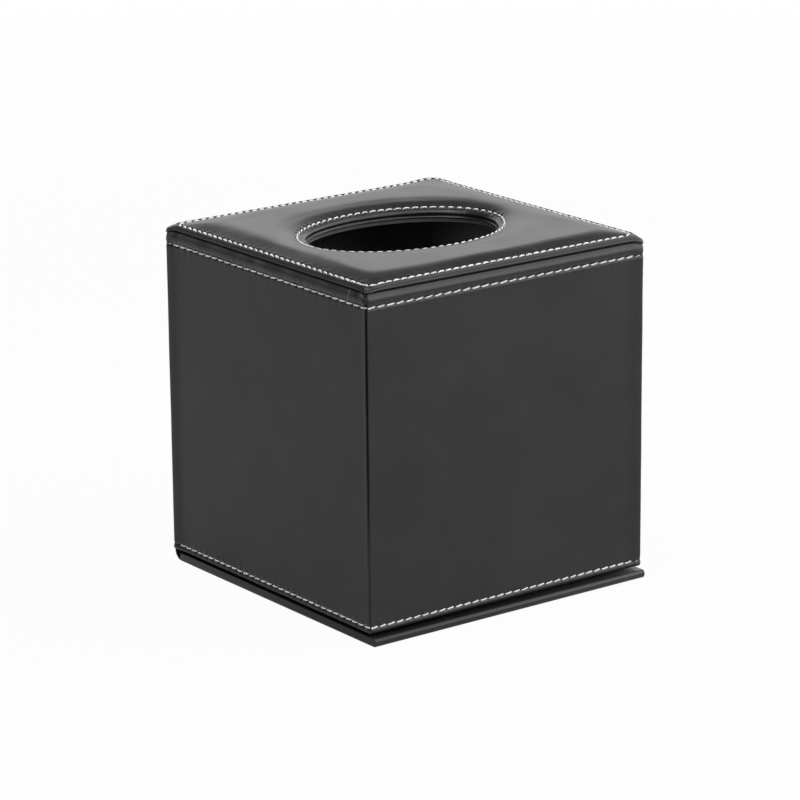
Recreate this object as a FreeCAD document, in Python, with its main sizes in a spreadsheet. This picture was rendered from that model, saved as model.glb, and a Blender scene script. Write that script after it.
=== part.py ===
import FreeCAD, Part
import os
import re

import Sketcher
from FreeCAD import Placement, Rotation, Vector

# A cube tissue box: four mitred boards under sewn leather, a padded top with an oval mouth, and a
# base flap that hangs on its leather at the back and closes on magnets at the front.
# Millimetres. The origin is on the resting plane, midway between the four walls; -Y is the front.

SIZES = {
    # walls
    "body_width": 130,  # outside of the walls, left to right
    "body_depth": 130,  # outside of the walls, front to back
    "wall_height": 129.8,  # hem to rolled top, over the leather
    "leather": 0.8,  # every cover
    "panel": 3,  # wall board
    "lining": 0.6,  # wall lining, where it lies over the turned-in leather
    "turn_in": 10,  # leather glued down inside, along the top and the bottom of a wall
    "roll": 2.4,  # rounding of a wall's top edge, over the leather
    "hem_roll": 1,  # rounding of a wall's bottom edge
    "lining_rise": 2,  # lining's lower edge above the wall's hem
    "fit_gap": 0.1,  # clearance of a piece that is laid in between others
    # top
    "lip": 1.1,  # part of the top board that lies on the walls
    "plug": 1.4,  # part of the top board that drops between the walls
    "lid_corner": 3,  # rounding of the top's corners, seen from above
    "lid_roll": 1.7,  # rounding of the top's outer edge
    "pad_rise": 2,  # padding above the seams
    "pad_inset": 2.8,  # border seam, in from the walls' outside
    "pad_run": 10.7,  # slope of the padding, inwards from the border seam
    "hip_roll": 30,  # rounding of the padding over the box's corners
    "mouth_length": 82.5,
    "mouth_width": 58,
    "mouth_seam": 2.75,  # oval seam, out from the mouth's edge
    "mouth_run": 11,  # slope of the padding, outwards from the oval seam
    "mouth_roll": 1.2,  # rounding of the leather where it turns down into the mouth
    "mouth_turn_in": 6,  # leather glued down under the top board
    "top_lining_board": 1.2,
    "top_lining_setback": 0.6,  # the lining's oval is that much larger all round
    # base flap
    "shadow_gap": 1,  # base plate to walls
    "base_panel": 1.6,
    "front_lip": 3.1,  # the base plate stands proud of the front wall
    "base_turn_in": 10,
    "nose_roll": 1.3,  # rounding of the base plate's front edge
    # leather hinge
    "strip": 0.8,
    "strip_proud": 0.4,  # the strip stands proud of the back wall
    "strip_roll": 4,  # outer rounding of the strip at the lower corner
    "strip_lap": 20.8,  # strip on the back wall, above the wall's hem
    "strip_tail": 8,  # strip glued down under the base plate
    # magnets
    "magnet_length": 10,
    "magnet_thickness": 2.6,
    "wall_magnet_height": 2,
    "base_magnet_height": 1.4,
    "magnet_spacing": 80,
}

# Places that follow from the sizes.
PLACES = {
    "half_width": "body_width / 2",
    "half_depth": "body_depth / 2",
    "base_panel_top": "leather + base_panel",
    "base_top": "base_panel_top + leather",
    "base_front": "half_depth + front_lip",
    "wall_foot": "base_top + shadow_gap",
    "wall_top": "wall_foot + wall_height",
    "panel_foot": "wall_foot + leather",
    "panel_top": "wall_top - leather",
    "turned_in": "leather + panel + leather",  # thickness of a wall at its turned-in leather
    "lip_top": "wall_top + lip",
    "plug_foot": "wall_top - plug",
    "seam_level": "lip_top + leather",
    "plug_inset": "turned_in + fit_gap",
    "top_lining_top": "plug_foot - leather",
    "top_lining_foot": "top_lining_top - top_lining_board",
    "hinge_back": "half_depth + strip_proud",
    "hinge_turn": "hinge_back - strip_roll",  # the base plate ends where the strip starts to turn
    "magnet_line": "half_depth - leather - panel / 2",
}

CLOSE = 1e-4  # two coordinates that differ by less are the same

doc = FreeCAD.newDocument("tissue_box")
sheet = doc.addObject("Spreadsheet::Sheet", "sizes")
for row, (alias, size) in enumerate(SIZES.items(), 1):
    sheet.set(f"A{row}", alias.replace("_", " "))
    sheet.set(f"B{row}", str(size))
    sheet.setAlias(f"B{row}", alias)
doc.recompute()

parts = []  # the sub-parts, in the order in which they are written


def formula(length):
    """A length in words, spelled out down to the sheet's cells."""

    def spell(match):
        word = match.group()
        return f"({formula(PLACES[word])})" if word in PLACES else f"sizes.{word}"

    return re.sub(r"[a-z_]+", spell, length)


def value(length):
    return sheet.evalExpression(formula(length))


def new_body(label, turn=0):
    """A body, turned about the box's upright axis; a wall is drawn as the front one."""
    body = doc.addObject("PartDesign::Body", label)
    body.Label = label
    body.Placement = Placement(Vector(), Rotation(Vector(0, 0, 1), turn))
    return body


def origin_feature(body, role):
    return next(feature for feature in body.Origin.OriginFeatures if feature.Role == role)


def new_sketch(body, plane, lift="0"):
    sketch = body.newObject("Sketcher::SketchObject", f"{body.Label}_sketch")
    sketch.AttachmentSupport = [(origin_feature(body, plane), "")]
    sketch.MapMode = "FlatFace"
    if lift != "0":
        sketch.setExpression(".AttachmentOffset.Base.z", formula(lift))
    return sketch


def bind(sketch, constraint, length):
    """Adds a constraint that takes its value from the sheet."""
    number = sketch.addConstraint(Sketcher.Constraint(*constraint, value(length)))
    sketch.setExpression(f"Constraints[{number}]", formula(length))


def draw_outline(sketch, corners):
    """A closed outline of straight sides, each corner held by its two distances."""
    first = sketch.GeometryCount
    points = [Vector(value(across), value(up), 0) for across, up in corners]
    sides = zip(points, points[1:] + points[:1])
    sketch.addGeometry([Part.LineSegment(start, end) for start, end in sides])
    for side, (across, up) in enumerate(corners, first):
        before = side - 1 if side > first else first + len(corners) - 1
        sketch.addConstraint(Sketcher.Constraint("Coincident", before, 2, side, 1))
        bind(sketch, ("DistanceX", side, 1), across)
        bind(sketch, ("DistanceY", side, 1), up)


def draw_rectangle(sketch, left, right, low, high):
    draw_outline(sketch, [(left, low), (right, low), (right, high), (left, high)])


def draw_oval(sketch, grow):
    """The mouth's ellipse, larger by grow all round, with its axes as construction lines."""
    length, width = f"mouth_length + 2 * ({grow})", f"mouth_width + 2 * ({grow})"
    ends = Vector(value(length) / 2, 0, 0), Vector(0, value(width) / 2, 0)
    sketch.addGeometry(Part.Ellipse(*ends, Vector()))
    sketch.exposeInternalGeometry(0)
    sketch.addConstraint(Sketcher.Constraint("Coincident", 0, 3, -1, 1))
    sketch.addConstraint(Sketcher.Constraint("Horizontal", 1))
    bind(sketch, ("Distance", 1), length)
    bind(sketch, ("Distance", 2), width)


def pad(body, sketch, length, symmetric=False):
    feature = body.newObject("PartDesign::Pad", f"{body.Label}_pad")
    feature.Profile = sketch
    feature.setExpression("Length", formula(length))
    feature.SideType = "Symmetric" if symmetric else "One side"
    return feature


def pocket(body, sketch, depth=None, upwards=False):
    """A pocket of that depth, down from its sketch or up; without a depth it goes right through."""
    feature = body.newObject("PartDesign::Pocket", f"{body.Label}_pocket")
    feature.Profile = sketch
    feature.Reversed = upwards
    if depth:
        feature.setExpression("Length", formula(depth))
    else:
        feature.Type = "ThroughAll"
        feature.SideType = "Symmetric"
    return feature


def lies_at(*places):
    """A test for edges that lie whole at one of those places."""

    def test(box):
        ends = {"x": (box.XMin, box.XMax), "y": (box.YMin, box.YMax), "z": (box.ZMin, box.ZMax)}
        for place in places:
            gaps = [abs(end - value(length)) for axis, length in place.items() for end in ends[axis]]
            if max(gaps) < CLOSE:
                return True
        return False

    return test


def rises_between(low, high):
    """A test for edges that run from one level up to another."""
    return lambda box: abs(box.ZMin - value(low)) < CLOSE and abs(box.ZMax - value(high)) < CLOSE


def round_edges(body, radius, test):
    """Fillets the edges of the body whose box passes the test."""
    doc.recompute()
    base = body.Tip
    edges = enumerate(base.Shape.Edges, 1)
    feature = body.newObject("PartDesign::Fillet", f"{body.Label}_fillet")
    feature.Base = (base, [f"Edge{number}" for number, edge in edges if test(edge.BoundBox)])
    feature.setExpression("Radius", formula(radius))


def border(x, y, z):
    """The places of a rectangle's four edges at one level."""
    return [{"x": x, "z": z}, {"x": f"-({x})", "z": z}, {"y": y, "z": z}, {"y": f"-({y})", "z": z}]


def wall_plan(body, height, outside, inside, along, across, foot):
    """A wall's plan, mitred at both ends, raised from its foot. outside and inside are measured in
    from the outer faces of the walls."""
    sketch = new_sketch(body, "XY_Plane", foot)
    front, back = f"-({across}) + ({outside})", f"-({across}) + ({inside})"
    long_end, short_end = f"({along}) - ({outside})", f"({along}) - ({inside})"
    corners = [(f"-({long_end})", front), (long_end, front), (short_end, back), (f"-({short_end})", back)]
    draw_outline(sketch, corners)
    pad(body, sketch, height)


def notch_run(body, corners):
    """Cuts an outline, drawn across the wall and upwards, along the wall's whole length."""
    sketch = new_sketch(body, "YZ_Plane")
    draw_outline(sketch, corners)
    pocket(body, sketch)


def magnet_slots(body, low, high):
    """Two slots through the board's thickness, for the magnets near its front edge."""
    for side in ("", "-"):
        sketch = new_sketch(body, "XZ_Plane", "magnet_line")
        middle = f"{side}magnet_spacing / 2"
        reach = "(magnet_length / 2 + fit_gap)"
        draw_rectangle(sketch, f"{middle} - {reach}", f"{middle} + {reach}", low, high)
        slot = pocket(body, sketch)
        slot.Type = "Length"
        slot.setExpression("Length", formula("panel + 2 * fit_gap"))


def wall_board(name, turn, along, across, magnets):
    body = new_body(f"{name}_wall_board", turn)
    wall_plan(body, "wall_height - 2 * leather", "leather", "leather + panel", along, across, "panel_foot")
    round_edges(body, "roll - leather", lies_at({"y": f"-({across}) + leather", "z": "panel_top"}))
    if magnets:
        magnet_slots(body, "panel_foot", "panel_foot + wall_magnet_height + fit_gap")
    parts.append(body)


def wall_leather(name, turn, along, across, hinged):
    """The cover: round the board's outer face, over its top and bottom edge and turned in."""
    body = new_body(f"{name}_leather", turn)
    wall_plan(body, "wall_height", "0", "turned_in", along, across, "wall_foot")
    round_edges(body, "roll", lies_at({"y": f"-({across})", "z": "wall_top"}))
    round_edges(body, "hem_roll", lies_at({"y": f"-({across})", "z": "wall_foot"}))
    outer, inner = f"-({across}) + leather", f"-({across}) + leather + panel"
    beyond = f"-({across}) + turned_in + lining"
    slot = [
        (outer, "panel_foot"),
        (inner, "panel_foot"),
        (inner, "panel_foot + turn_in"),
        (beyond, "panel_foot + turn_in"),
        (beyond, "panel_top - turn_in"),
        (inner, "panel_top - turn_in"),
        (inner, "panel_top"),
        (outer, "panel_top"),
    ]
    notch_run(body, slot)
    round_edges(body, "roll - leather", lies_at({"y": outer, "z": "panel_top"}))
    if hinged:
        # Skived where the hinge strip is laid on.
        seat = "strip - strip_proud"
        sketch = new_sketch(body, "YZ_Plane")
        draw_rectangle(sketch, f"-({across})", f"-({across}) + {seat}", "wall_foot", "wall_foot + strip_lap")
        pocket(body, sketch)
    parts.append(body)


def wall_lining(name, turn, along, across):
    """A panel that lies over the turned-in leather and fills the space between its edges."""
    body = new_body(f"{name}_lining", turn)
    foot, head = "wall_foot + lining_rise", "top_lining_foot - fit_gap"
    inside = "turned_in + lining"
    wall_plan(body, f"({head}) - ({foot})", "leather + panel", inside, along, across, foot)
    outer, step = f"-({across}) + leather + panel", f"-({across}) + turned_in"
    low, high = "panel_foot + turn_in + fit_gap", "panel_top - turn_in - fit_gap"
    notch_run(body, [(outer, foot), (step, foot), (step, low), (outer, low)])
    notch_run(body, [(outer, high), (step, high), (step, head), (outer, head)])
    parts.append(body)


def top_board():
    """Rebated all round: the lip lies on the walls and the plug drops between them."""
    body = new_body("top_board")
    lip = new_sketch(body, "XY_Plane", "wall_top")
    edge_x, edge_y = "half_width - leather", "half_depth - leather"
    draw_rectangle(lip, f"-({edge_x})", edge_x, f"-({edge_y})", edge_y)
    pad(body, lip, "lip")
    round_edges(body, "lid_corner - leather", rises_between("wall_top", "lip_top"))
    plug = new_sketch(body, "XY_Plane", "plug_foot")
    inner_x, inner_y = "half_width - plug_inset", "half_depth - plug_inset"
    draw_rectangle(plug, f"-({inner_x})", inner_x, f"-({inner_y})", inner_y)
    pad(body, plug, "plug")
    mouth = new_sketch(body, "XY_Plane", "lip_top")
    draw_oval(mouth, "leather")
    pocket(body, mouth)
    round_edges(body, "lid_roll - leather", lies_at(*border(edge_x, edge_y, "lip_top")))
    parts.append(body)
    return body


def sink_dish(body, foot, rise, grow, run):
    """Cuts an oval dish: its side slopes outwards by run while it goes up by rise."""
    past = 1.25  # the cut runs on at the same slope, so that it comes out above the body
    low = new_sketch(body, "XY_Plane", foot)
    draw_oval(low, grow)
    high = new_sketch(body, "XY_Plane", f"{foot} + {past} * {rise}")
    draw_oval(high, f"{grow} + {past} * {run}")
    cut = body.newObject("PartDesign::SubtractiveLoft", f"{body.Label}_dish")
    cut.Profile = low
    cut.Sections = [high]
    cut.Ruled = True


def raise_crown(body, level):
    """The padding: slopes up from the border seam, and down again to the oval seam."""
    crown = body.newObject("PartDesign::AdditiveWedge", f"{body.Label}_crown")
    crown.AttachmentSupport = [(origin_feature(body, "XZ_Plane"), "")]
    crown.MapMode = "FlatFace"
    crown.setExpression("Ymin", formula(level))
    crown.setExpression("Ymax", formula(f"{level} + pad_rise"))
    for axis, half in (("X", "half_width - pad_inset"), ("Z", "half_depth - pad_inset")):
        for end, sign in (("min", "-"), ("max", "")):
            crown.setExpression(f"{axis}{end}", formula(f"{sign}({half})"))
            crown.setExpression(f"{axis}2{end}", formula(f"{sign}({half} - pad_run)"))
    round_edges(body, "hip_roll", rises_between(level, f"{level} + pad_rise"))
    sink_dish(body, level, "pad_rise", "mouth_seam", "mouth_run")


def top_foam():
    body = new_body("top_foam")
    raise_crown(body, "lip_top")
    parts.append(body)
    return body


def top_leather(board, foam):
    """The cover: over the lip's edge and the foam, down into the mouth and in under the board."""
    blank = new_body("top_leather_blank")
    plate = new_sketch(blank, "XY_Plane", "wall_top")
    draw_rectangle(plate, "-half_width", "half_width", "-half_depth", "half_depth")
    pad(blank, plate, "lip + leather")
    round_edges(blank, "lid_corner", rises_between("wall_top", "seam_level"))
    round_edges(blank, "lid_roll", lies_at(*border("half_width", "half_depth", "seam_level")))
    collar = new_sketch(blank, "XY_Plane", "top_lining_top")
    draw_oval(collar, "mouth_turn_in")
    pad(blank, collar, "wall_top - (top_lining_top)")
    raise_crown(blank, "seam_level")
    mouth = new_sketch(blank, "XY_Plane", "seam_level")
    draw_oval(mouth, "0")
    pocket(blank, mouth)
    sink_dish(blank, "seam_level - mouth_roll", "mouth_roll", "0", "mouth_roll")
    core = doc.addObject("Part::MultiFuse", "top_leather_core")
    core.Shapes = [board, foam]
    cover = doc.addObject("Part::Cut", "top_leather")
    cover.Base = blank
    cover.Tool = core
    parts.append(cover)


def top_lining():
    """A board under the top, thinner where it lies over the turned-in leather of the mouth."""
    body = new_body("top_lining")
    plate = new_sketch(body, "XY_Plane", "top_lining_foot")
    inner_x, inner_y = "half_width - plug_inset", "half_depth - plug_inset"
    draw_rectangle(plate, f"-({inner_x})", inner_x, f"-({inner_y})", inner_y)
    pad(body, plate, "plug_foot - (top_lining_foot)")
    seat = new_sketch(body, "XY_Plane", "plug_foot")
    draw_oval(seat, "mouth_turn_in + fit_gap")
    pocket(body, seat, "leather")
    mouth = new_sketch(body, "XY_Plane", "plug_foot")
    draw_oval(mouth, "top_lining_setback")
    pocket(body, mouth)
    parts.append(body)


def base_board():
    body = new_body("base_board")
    sketch = new_sketch(body, "XY_Plane", "leather")
    edge = "half_width - leather"
    draw_rectangle(sketch, f"-({edge})", edge, "-(base_front) + leather", "hinge_turn")
    pad(body, sketch, "base_panel")
    magnet_slots(body, "leather", "base_panel_top")
    parts.append(body)


def base_leather():
    """The flap's cover: under the board, round its front and sides and turned in on its top."""
    body = new_body("base_leather")
    plate = new_sketch(body, "XY_Plane")
    draw_rectangle(plate, "-half_width", "half_width", "-(base_front)", "hinge_turn")
    pad(body, plate, "base_top")
    nose = [{"y": "-(base_front)", "z": level} for level in ("0", "base_top")]
    round_edges(body, "nose_roll", lies_at(*nose))
    slot = new_sketch(body, "XZ_Plane", "base_front - leather")
    edge = "half_width - leather"
    draw_rectangle(slot, f"-({edge})", edge, "leather", "base_panel_top")
    pocket(body, slot, "base_front + hinge_turn")
    window = new_sketch(body, "XY_Plane", "base_top")
    side = "half_width - base_turn_in"
    draw_rectangle(window, f"-({side})", side, "-(base_front) + base_turn_in", "hinge_turn")
    pocket(body, window, "leather")
    tail = new_sketch(body, "XY_Plane")
    draw_rectangle(tail, "-half_width", "half_width", "hinge_turn - strip_tail", "hinge_turn")
    pocket(body, tail, "leather", upwards=True)
    parts.append(body)


def base_lining():
    body = new_body("base_lining")
    sketch = new_sketch(body, "XY_Plane", "base_panel_top")
    side = "half_width - base_turn_in - fit_gap"
    draw_rectangle(sketch, f"-({side})", side, "-(base_front) + base_turn_in + fit_gap", "hinge_turn")
    pad(body, sketch, "leather")
    parts.append(body)


def hinge_leather():
    """The strip that carries the flap: down the back wall, round the corner and under the flap."""
    body = new_body("hinge_leather")
    sketch = new_sketch(body, "YZ_Plane")
    head = "wall_foot + strip_lap"
    inner = "hinge_back - strip"
    tail = "hinge_turn - strip_tail"
    corners = [
        (tail, "0"),
        ("hinge_back", "0"),
        ("hinge_back", head),
        (inner, head),
        (inner, "strip"),
        (tail, "strip"),
    ]
    draw_outline(sketch, corners)
    pad(body, sketch, "body_width - 2 * (strip - strip_proud)", symmetric=True)
    round_edges(body, "strip_roll", lies_at({"y": "hinge_back", "z": "0"}))
    round_edges(body, "strip_roll - strip", lies_at({"y": inner, "z": "strip"}))
    parts.append(body)


def magnets(label, foot, height):
    """A pair of bar magnets, side by side along the front edge."""
    pair = []
    for side in ("", "-"):
        magnet = doc.addObject("Part::Box", f"{label}_bar")
        magnet.setExpression("Length", formula("magnet_length"))
        magnet.setExpression("Width", formula("magnet_thickness"))
        magnet.setExpression("Height", formula(height))
        middle = f"{side}magnet_spacing / 2 - magnet_length / 2"
        magnet.setExpression(".Placement.Base.x", formula(middle))
        magnet.setExpression(".Placement.Base.y", formula("-(magnet_line) - magnet_thickness / 2"))
        magnet.setExpression(".Placement.Base.z", formula(foot))
        pair.append(magnet)
    group = doc.addObject("Part::Compound", label)
    group.Links = pair
    parts.append(group)


def check_document():
    """Stops before anything is written if an object failed or a sub-part isn't sound."""
    for thing in doc.Objects:
        if {"Invalid", "Error"} & set(thing.State):
            raise RuntimeError(f"{thing.Label} failed: {thing.State}")
    for part in parts:
        if part.Shape.isNull() or not part.Shape.isValid():
            raise RuntimeError(f"{part.Label} has no sound shape")


for quarter, wall in enumerate(("front", "right", "back", "left")):
    ends, face = ("half_depth", "half_width") if quarter % 2 else ("half_width", "half_depth")
    turn = quarter * 90
    wall_board(wall, turn, ends, face, magnets=wall == "front")
    wall_leather(wall, turn, ends, face, hinged=wall == "back")
    wall_lining(wall, turn, ends, face)
board = top_board()
foam = top_foam()
top_leather(board, foam)
top_lining()
hinge_leather()
base_board()
base_leather()
base_lining()
magnets("wall_magnets", "panel_foot", "wall_magnet_height")
magnets("base_magnets", "leather", "base_magnet_height")

doc.recompute()
check_document()
os.makedirs("parts", exist_ok=True)
for part in parts:
    part.Shape.exportStep(f"parts/{part.Label}.step")
    solids = len(part.Shape.Solids)
    print(f"{part.Label}: {solids} solid(s), {part.Shape.Volume:.1f} mm3")
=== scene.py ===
import math

import bmesh
import bpy
import numpy as np
from mathutils import Matrix, Vector


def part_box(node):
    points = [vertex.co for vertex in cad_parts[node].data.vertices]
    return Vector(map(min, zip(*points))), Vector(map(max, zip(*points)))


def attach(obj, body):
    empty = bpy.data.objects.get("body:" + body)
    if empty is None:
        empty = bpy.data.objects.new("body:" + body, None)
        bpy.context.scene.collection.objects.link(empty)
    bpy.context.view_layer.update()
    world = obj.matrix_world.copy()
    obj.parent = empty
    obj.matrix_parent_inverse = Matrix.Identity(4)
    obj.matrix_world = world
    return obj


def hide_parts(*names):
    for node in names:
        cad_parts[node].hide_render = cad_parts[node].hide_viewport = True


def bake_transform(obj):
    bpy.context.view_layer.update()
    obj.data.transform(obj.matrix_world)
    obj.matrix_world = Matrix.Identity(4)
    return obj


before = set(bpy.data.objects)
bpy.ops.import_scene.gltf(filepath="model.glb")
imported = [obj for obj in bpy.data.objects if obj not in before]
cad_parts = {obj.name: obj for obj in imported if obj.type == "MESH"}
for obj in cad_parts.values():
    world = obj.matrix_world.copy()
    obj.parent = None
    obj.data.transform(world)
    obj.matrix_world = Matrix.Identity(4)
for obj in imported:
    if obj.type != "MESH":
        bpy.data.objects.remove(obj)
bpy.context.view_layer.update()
print("frame:", len(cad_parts), "pieces of the packed model")

mm = 0.001


# Nodes


def mathStep(operation, swapped=False):
    def step(value, other):
        return value.math(operation, *((other, value) if swapped else (value, other)))

    return step


class Value:
    # A node's output that takes part in plain arithmetic: each step adds its Math node
    def __init__(self, graph, node, socket):
        self.graph, self.node, self.socket = graph, node, socket

    def __getitem__(self, name):
        return Value(self.graph, self.node, self.graph.find(self.node.outputs, name))

    def math(self, operation, *values):
        return self.graph.add("ShaderNodeMath", {"operation": operation}, dict(enumerate(values)))

    __add__ = __radd__ = mathStep("ADD")
    __sub__, __rsub__ = mathStep("SUBTRACT"), mathStep("SUBTRACT", swapped=True)
    __mul__ = __rmul__ = mathStep("MULTIPLY")
    __truediv__, __pow__ = mathStep("DIVIDE"), mathStep("POWER")
    atLeast = mathStep("MAXIMUM")

    def __neg__(self):
        return self * -1

    def smooth(self, low, high):
        # 0 below low and 1 above high, with a soft change in between
        values = {"Value": self, "From Min": low, "From Max": high}
        return self.graph.add("ShaderNodeMapRange", {"interpolation_type": "SMOOTHSTEP"}, values)


class Graph:
    # A node tree that is filled through one method
    def __init__(self, tree):
        self.tree = tree
        tree.nodes.clear()

    def find(self, sockets, name):
        if isinstance(name, int):
            return sockets[name]
        return next(s for s in sockets if s.enabled and name in (s.name, s.identifier))

    def add(self, kind, settings=None, values=None):
        node = self.tree.nodes.new(kind)
        for name, setting in (settings or {}).items():
            setattr(node, name, setting)
        for name, value in (values or {}).items():
            socket = self.find(node.inputs, name)
            if isinstance(value, Value):
                self.tree.links.new(value.socket, socket)
            elif value is not None:
                socket.default_value = value
        shown = [s for s in node.outputs if s.enabled]
        return Value(self, node, shown[0] if shown else None)

    def noise(self, place, scale, detail, **more):
        values = {"Vector": place, "Scale": scale, "Detail": detail, **more}
        return self.add("ShaderNodeTexNoise", values=values)

    def bump(self, height, depth, strength, under=None):
        # under is the normal of a coarser bump that this one lies on
        values = {"Height": height, "Distance": depth, "Strength": strength, "Normal": under}
        return self.add("ShaderNodeBump", values=values)

    def blend(self, share, first, second):
        # A colour between two others
        values = {"Factor": share, "A": (*first, 1), "B": (*second, 1)}
        return self.add("ShaderNodeMix", {"data_type": "RGBA"}, values)


def newMaterial(name, fill):
    # fill adds the nodes and gives the closing shader
    material = bpy.data.materials.new(name)
    material.use_nodes = True
    graph = Graph(material.node_tree)
    surface = fill(graph, graph.add("ShaderNodeTexCoord")["Object"])
    graph.add("ShaderNodeOutputMaterial", values={"Surface": surface})
    return material


def shader(graph, colour, roughness, normal, more=None):
    values = {"Base Color": colour, "Roughness": roughness, "Normal": normal, **(more or {})}
    return graph.add("ShaderNodeBsdfPrincipled", values=values)


# Materials

leatherLook = {
    "deep": (0.0098, 0.0096, 0.0115),
    "worn": (0.0165, 0.0162, 0.019),
    "gloss": 0.27,  # roughness where it is smooth
    "glossSpread": 0.12,
    "ior": 1.42,
    "grainSize": 0.55 * mm,
    "grainDepth": 0.022 * mm,
    "creaseSize": 6 * mm,
    "creaseDepth": 0.05 * mm,
    "cloudScale": 38,
}


def fillLeather(graph, place):
    look = leatherLook
    size = look["grainSize"]
    drift = graph.noise(place, 0.4 / size, 1)
    shifted = graph.add(
        "ShaderNodeVectorMath",
        {"operation": "MULTIPLY_ADD"},
        {0: drift["Color"], 1: (0.5 * size,) * 3, 2: place},
    )
    pebble = graph.add(
        "ShaderNodeTexVoronoi",
        {"feature": "SMOOTH_F1"},
        {"Vector": shifted, "Scale": 1 / size, "Smoothness": 0.6},
    )
    pores = graph.noise(place, 3 / size, 2)
    creases = graph.noise(place, 1 / look["creaseSize"], 3, Distortion=0.6)
    cloud = graph.noise(place, look["cloudScale"], 4, Roughness=0.62)
    height = (1 - pebble["Distance"]) * 0.7 + pores["Fac"] * 0.3
    fold = graph.bump(creases["Fac"], look["creaseDepth"], 0.6)
    grain = graph.bump(height, look["grainDepth"], 0.7, fold)
    shade = cloud["Fac"].smooth(0.35, 0.7) * 0.6 + pebble["Distance"] * 0.4
    rough = look["gloss"] + look["glossSpread"] * (cloud["Fac"] * 0.6 + pores["Fac"] * 0.4 - 0.3)
    colour = graph.blend(shade, look["deep"], look["worn"])
    return shader(graph, colour, rough, grain, {"IOR": look["ior"]})


liningLook = {
    "deep": (0.07, 0.07, 0.074),
    "fluff": (0.11, 0.11, 0.118),
    "fibre": 0.25 * mm,
    "depth": 0.06 * mm,
    "sheen": {"Sheen Weight": 0.3, "Sheen Roughness": 0.5, "IOR": 1.35},
}


def fillLining(graph, place):
    # Needled felt: short fibres that lie every way
    look = liningLook
    fibres = graph.noise(place, 1 / look["fibre"], 3, Distortion=1.8)
    tufts = graph.noise(place, 0.12 / look["fibre"], 3)
    height = fibres["Fac"] * 0.7 + tufts["Fac"] * 0.3
    colour = graph.blend(height.smooth(0.35, 0.65), look["deep"], look["fluff"])
    rough = 0.85 + 0.1 * tufts["Fac"]
    return shader(graph, colour, rough, graph.bump(height, look["depth"], 0.9), look["sheen"])


boardLook = {"deep": (0.15, 0.085, 0.045), "pale": (0.30, 0.20, 0.12), "fibre": 0.6 * mm, "depth": 0.05 * mm}


def fillFibreboard(graph, place):
    look = boardLook
    stretched = graph.add("ShaderNodeMapping", values={"Vector": place, "Scale": (1, 1, 3)})
    fibres = graph.noise(stretched, 1 / look["fibre"], 5, Distortion=1.2)
    flecks = graph.add("ShaderNodeTexVoronoi", values={"Vector": stretched, "Scale": 0.7 / look["fibre"]})
    tone = fibres["Fac"] * 0.7 + flecks["Distance"] * 0.3
    colour = graph.blend(tone.smooth(0.3, 0.7), look["deep"], look["pale"])
    rough = 0.75 + 0.15 * flecks["Distance"]
    return shader(graph, colour, rough, graph.bump(tone, look["depth"], 0.8))


# The darker colour is painted shade inside the cell hollows; the lighter one is the foam's ribs
foamLook = {"hollow": (0.10, 0.10, 0.11), "rib": (0.42, 0.42, 0.44), "cell": 0.5 * mm, "depth": 0.12 * mm}


def fillFoam(graph, place):
    look = foamLook
    cells = graph.add(
        "ShaderNodeTexVoronoi",
        {"feature": "DISTANCE_TO_EDGE"},
        {"Vector": place, "Scale": 1 / look["cell"]},
    )
    # Painted shade: the hollows of the cells get a darker colour than the ribs, standing in for the shade
    # inside them
    wall = 1 - cells["Distance"].smooth(0.02, 0.25)
    colour = graph.blend(wall, look["hollow"], look["rib"])
    return shader(graph, colour, 0.95 - 0.1 * wall, graph.bump(wall, look["depth"], 1))


magnetLook = {
    "plating": (0.62, 0.61, 0.58),
    "dulled": (0.40, 0.39, 0.37),
    "scratchScale": 5000,
    "scratchDepth": 0.01 * mm,
    "stainScale": 260,
}


def fillMagnet(graph, place):
    look = magnetLook
    brushed = graph.add("ShaderNodeMapping", values={"Vector": place, "Scale": (0.15, 1, 1)})
    scratches = graph.noise(brushed, look["scratchScale"], 3)
    stains = graph.noise(place, look["stainScale"], 4)
    colour = graph.blend(stains["Fac"].smooth(0.4, 0.7), look["plating"], look["dulled"])
    bump = graph.bump(scratches["Fac"], look["scratchDepth"], 0.5)
    return shader(graph, colour, 0.22 + 0.2 * stains["Fac"], bump, {"Metallic": 1})


# The grubbier colour is partly real handling grime and partly painted shade between the fibres
threadLook = {
    "clean": (0.90, 0.895, 0.90),
    "grubby": (0.77, 0.76, 0.77),
    "fibre": 0.08 * mm,
    "depth": 0.03 * mm,
    "grimeScale": 220,
}


def fillThread(graph, place):
    look = threadLook
    fibres = graph.noise(place, 1 / look["fibre"], 2)
    handled = graph.noise(place, look["grimeScale"], 3)
    # Painted shade: besides real handling grime, the thread is darker in the low places of its fibre bump
    grimeAndShade = handled["Fac"].smooth(0.45, 0.8) * 0.6 + (1 - fibres["Fac"]) * 0.25
    colour = graph.blend(grimeAndShade, look["clean"], look["grubby"])
    bump = graph.bump(fibres["Fac"], look["depth"], 0.8)
    return shader(graph, colour, 0.62 + 0.2 * fibres["Fac"], bump)


finishes = {
    "leather": newMaterial("blackLeather", fillLeather),
    "lining": newMaterial("blackFelt", fillLining),
    "fibreboard": newMaterial("pressedFibreboard", fillFibreboard),
    "foam": newMaterial("openFoam", fillFoam),
    "magnet": newMaterial("nickelPlate", fillMagnet),
    "thread": newMaterial("whiteThread", fillThread),
}


def finishOf(nodeName):
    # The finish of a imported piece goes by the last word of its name
    words = {"board": "fibreboard", "magnets": "magnet"}
    last = nodeName.split("_")[-1]
    return finishes[words.get(last, last)]


for nodeName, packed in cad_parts.items():
    packed.data.materials.clear()
    packed.data.materials.append(finishOf(nodeName))
print("finishes:", len(finishes))


# Shared shaping


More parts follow.
